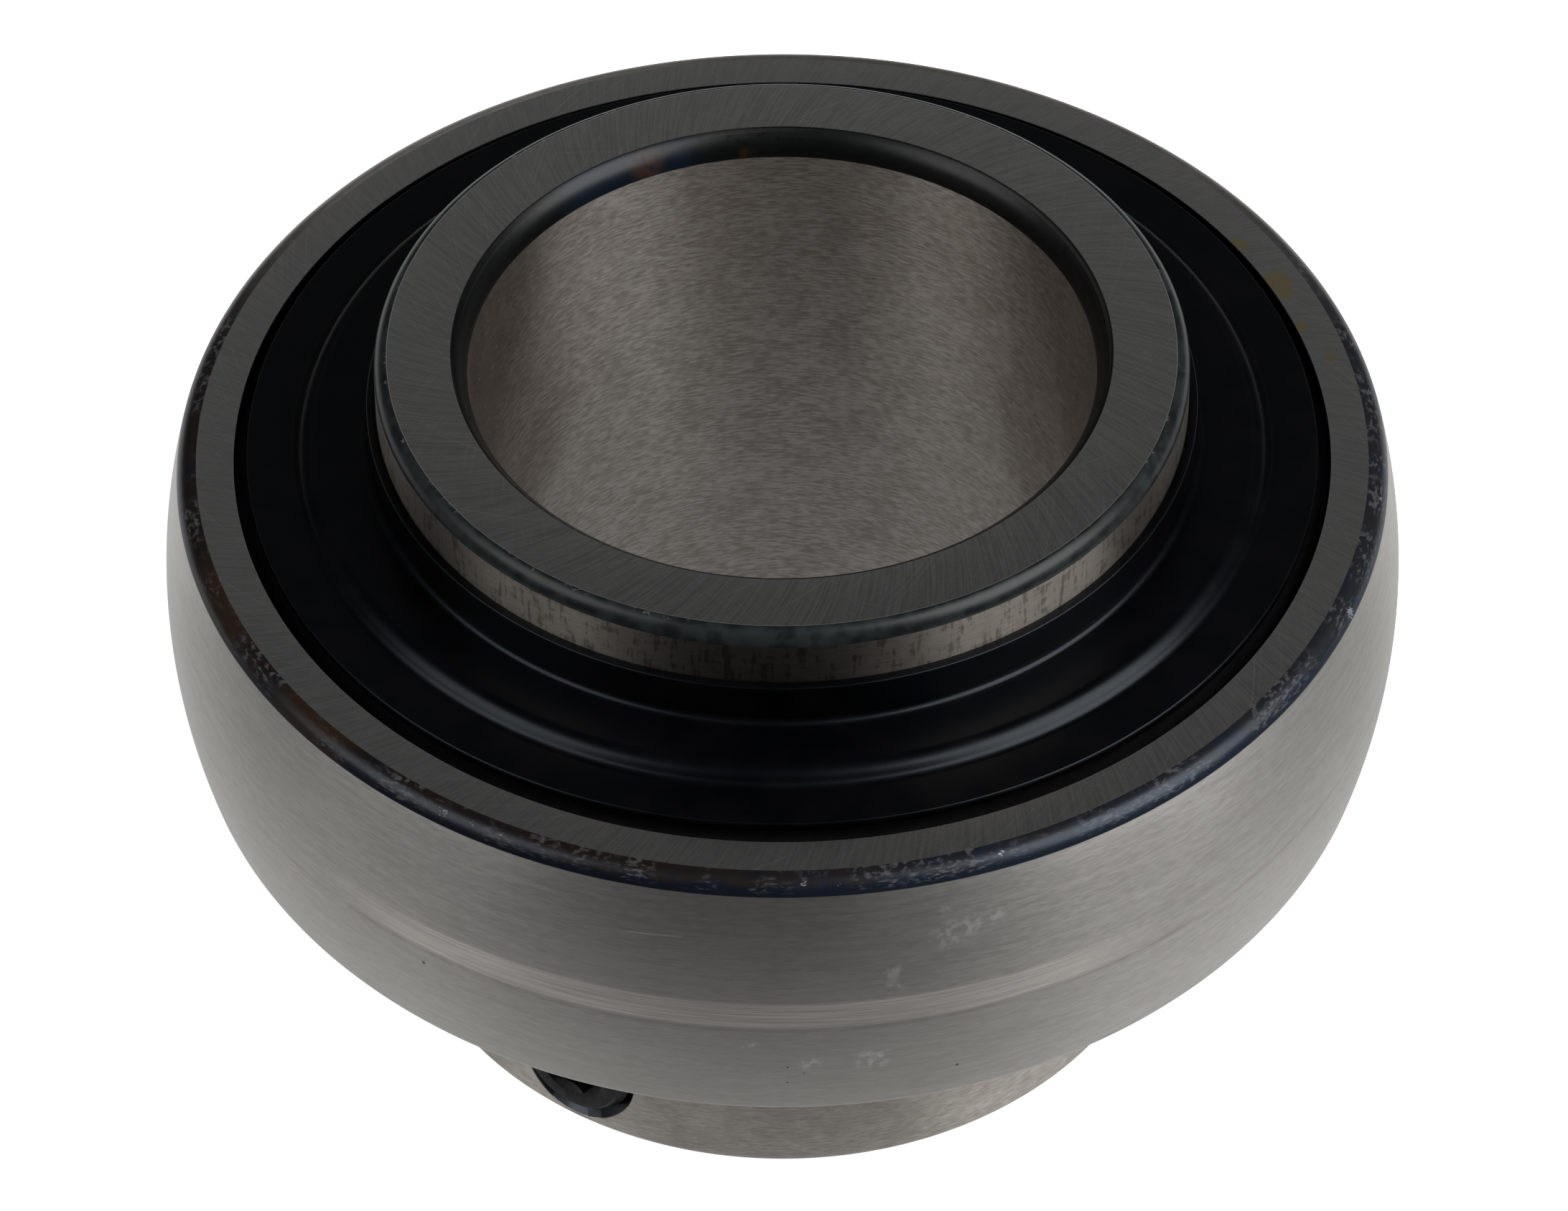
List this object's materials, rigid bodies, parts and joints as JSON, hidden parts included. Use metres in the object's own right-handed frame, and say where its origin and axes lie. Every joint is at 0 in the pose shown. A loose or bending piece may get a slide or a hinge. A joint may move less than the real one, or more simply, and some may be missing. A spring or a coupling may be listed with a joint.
{
  "type": "insert bearing",
  "caption": "Sealed insert bearing: a ball bearing with a spherical outside that aligns itself in its housing, and a long inner ring that grub screws lock on a shaft.",
  "frame": {"origin": "centre of the bearing's lowest face, on the shaft axis, standing on the long side of the inner ring", "axes": "+Z along the shaft axis, from the long side with the grub screws to the short side"},
  "size_m": [0.08, 0.08, 0.0492],
  "materials": {
    "ring_steel": "ground satin bearing steel",
    "ball_steel": "lapped mirror",
    "cage_polymer": "glass-filled polyamide",
    "plate_steel": "plain pressed sheet",
    "seal_rubber": "moulded nitrile",
    "black_steel": "black oxide sheet, satin",
    "screw_steel": "black oxide"
  },
  "bodies": {
    "outer": {"outer_ring": "ring_steel", "upper_seal_plate": "plate_steel", "upper_seal_lip": "seal_rubber", "lower_seal_plate": "plate_steel", "lower_seal_lip": "seal_rubber"},
    "inner": {"inner_ring": "ring_steel", "upper_flinger": "black_steel", "lower_flinger": "black_steel"},
    "cage": {"cage": "cage_polymer"},
    "ball_1": {"ball_1": "ball_steel"},
    "ball_2": {"ball_2": "ball_steel"},
    "ball_3": {"ball_3": "ball_steel"},
    "ball_4": {"ball_4": "ball_steel"},
    "ball_5": {"ball_5": "ball_steel"},
    "ball_6": {"ball_6": "ball_steel"},
    "ball_7": {"ball_7": "ball_steel"},
    "ball_8": {"ball_8": "ball_steel"},
    "ball_9": {"ball_9": "ball_steel"},
    "screw_1": {"grub_screw_1": "screw_steel"},
    "screw_2": {"grub_screw_2": "screw_steel"}
  },
  "joints": [
    {"name": "inner_spin", "type": "hinge", "parent": "outer", "child": "inner", "pos_m": [0, 0, 0.0302], "axis": [0, 0, 1], "continuous": true},
    {"name": "cage_spin", "type": "hinge", "parent": "outer", "child": "cage", "pos_m": [0, 0, 0.0302], "axis": [0, 0, 1], "continuous": true},
    {"name": "ball_1_spin", "type": "hinge", "parent": "cage", "child": "ball_1", "pos_m": [0.03, 0, 0.0302], "axis": [0, 0, 1], "continuous": true},
    {"name": "ball_2_spin", "type": "hinge", "parent": "cage", "child": "ball_2", "pos_m": [0.02298, 0.01928, 0.0302], "axis": [0, 0, 1], "continuous": true},
    {"name": "ball_3_spin", "type": "hinge", "parent": "cage", "child": "ball_3", "pos_m": [0.00521, 0.02954, 0.0302], "axis": [0, 0, 1], "continuous": true},
    {"name": "ball_4_spin", "type": "hinge", "parent": "cage", "child": "ball_4", "pos_m": [-0.015, 0.02598, 0.0302], "axis": [0, 0, 1], "continuous": true},
    {"name": "ball_5_spin", "type": "hinge", "parent": "cage", "child": "ball_5", "pos_m": [-0.02819, 0.01026, 0.0302], "axis": [0, 0, 1], "continuous": true},
    {"name": "ball_6_spin", "type": "hinge", "parent": "cage", "child": "ball_6", "pos_m": [-0.02819, -0.01026, 0.0302], "axis": [0, 0, 1], "continuous": true},
    {"name": "ball_7_spin", "type": "hinge", "parent": "cage", "child": "ball_7", "pos_m": [-0.015, -0.02598, 0.0302], "axis": [0, 0, 1], "continuous": true},
    {"name": "ball_8_spin", "type": "hinge", "parent": "cage", "child": "ball_8", "pos_m": [0.00521, -0.02954, 0.0302], "axis": [0, 0, 1], "continuous": true},
    {"name": "ball_9_spin", "type": "hinge", "parent": "cage", "child": "ball_9", "pos_m": [0.02298, -0.01928, 0.0302], "axis": [0, 0, 1], "continuous": true},
    {"name": "screw_1_travel", "type": "slide", "parent": "inner", "child": "screw_1", "axis": [-0.5299, -0.848, 0], "range_m": [-0.0002, 0.003]},
    {"name": "screw_2_travel", "type": "slide", "parent": "inner", "child": "screw_2", "axis": [0.9994, -0.0349, 0], "range_m": [-0.0002, 0.003]}
  ],
  "couplings": [
    {"joint": "cage_spin", "follows": "inner_spin", "ratio": 0.3975},
    {"joint": "ball_1_spin", "follows": "inner_spin", "ratio": -2.3365},
    {"joint": "ball_2_spin", "follows": "inner_spin", "ratio": -2.3365},
    {"joint": "ball_3_spin", "follows": "inner_spin", "ratio": -2.3365},
    {"joint": "ball_4_spin", "follows": "inner_spin", "ratio": -2.3365},
    {"joint": "ball_5_spin", "follows": "inner_spin", "ratio": -2.3365},
    {"joint": "ball_6_spin", "follows": "inner_spin", "ratio": -2.3365},
    {"joint": "ball_7_spin", "follows": "inner_spin", "ratio": -2.3365},
    {"joint": "ball_8_spin", "follows": "inner_spin", "ratio": -2.3365},
    {"joint": "ball_9_spin", "follows": "inner_spin", "ratio": -2.3365}
  ]
}
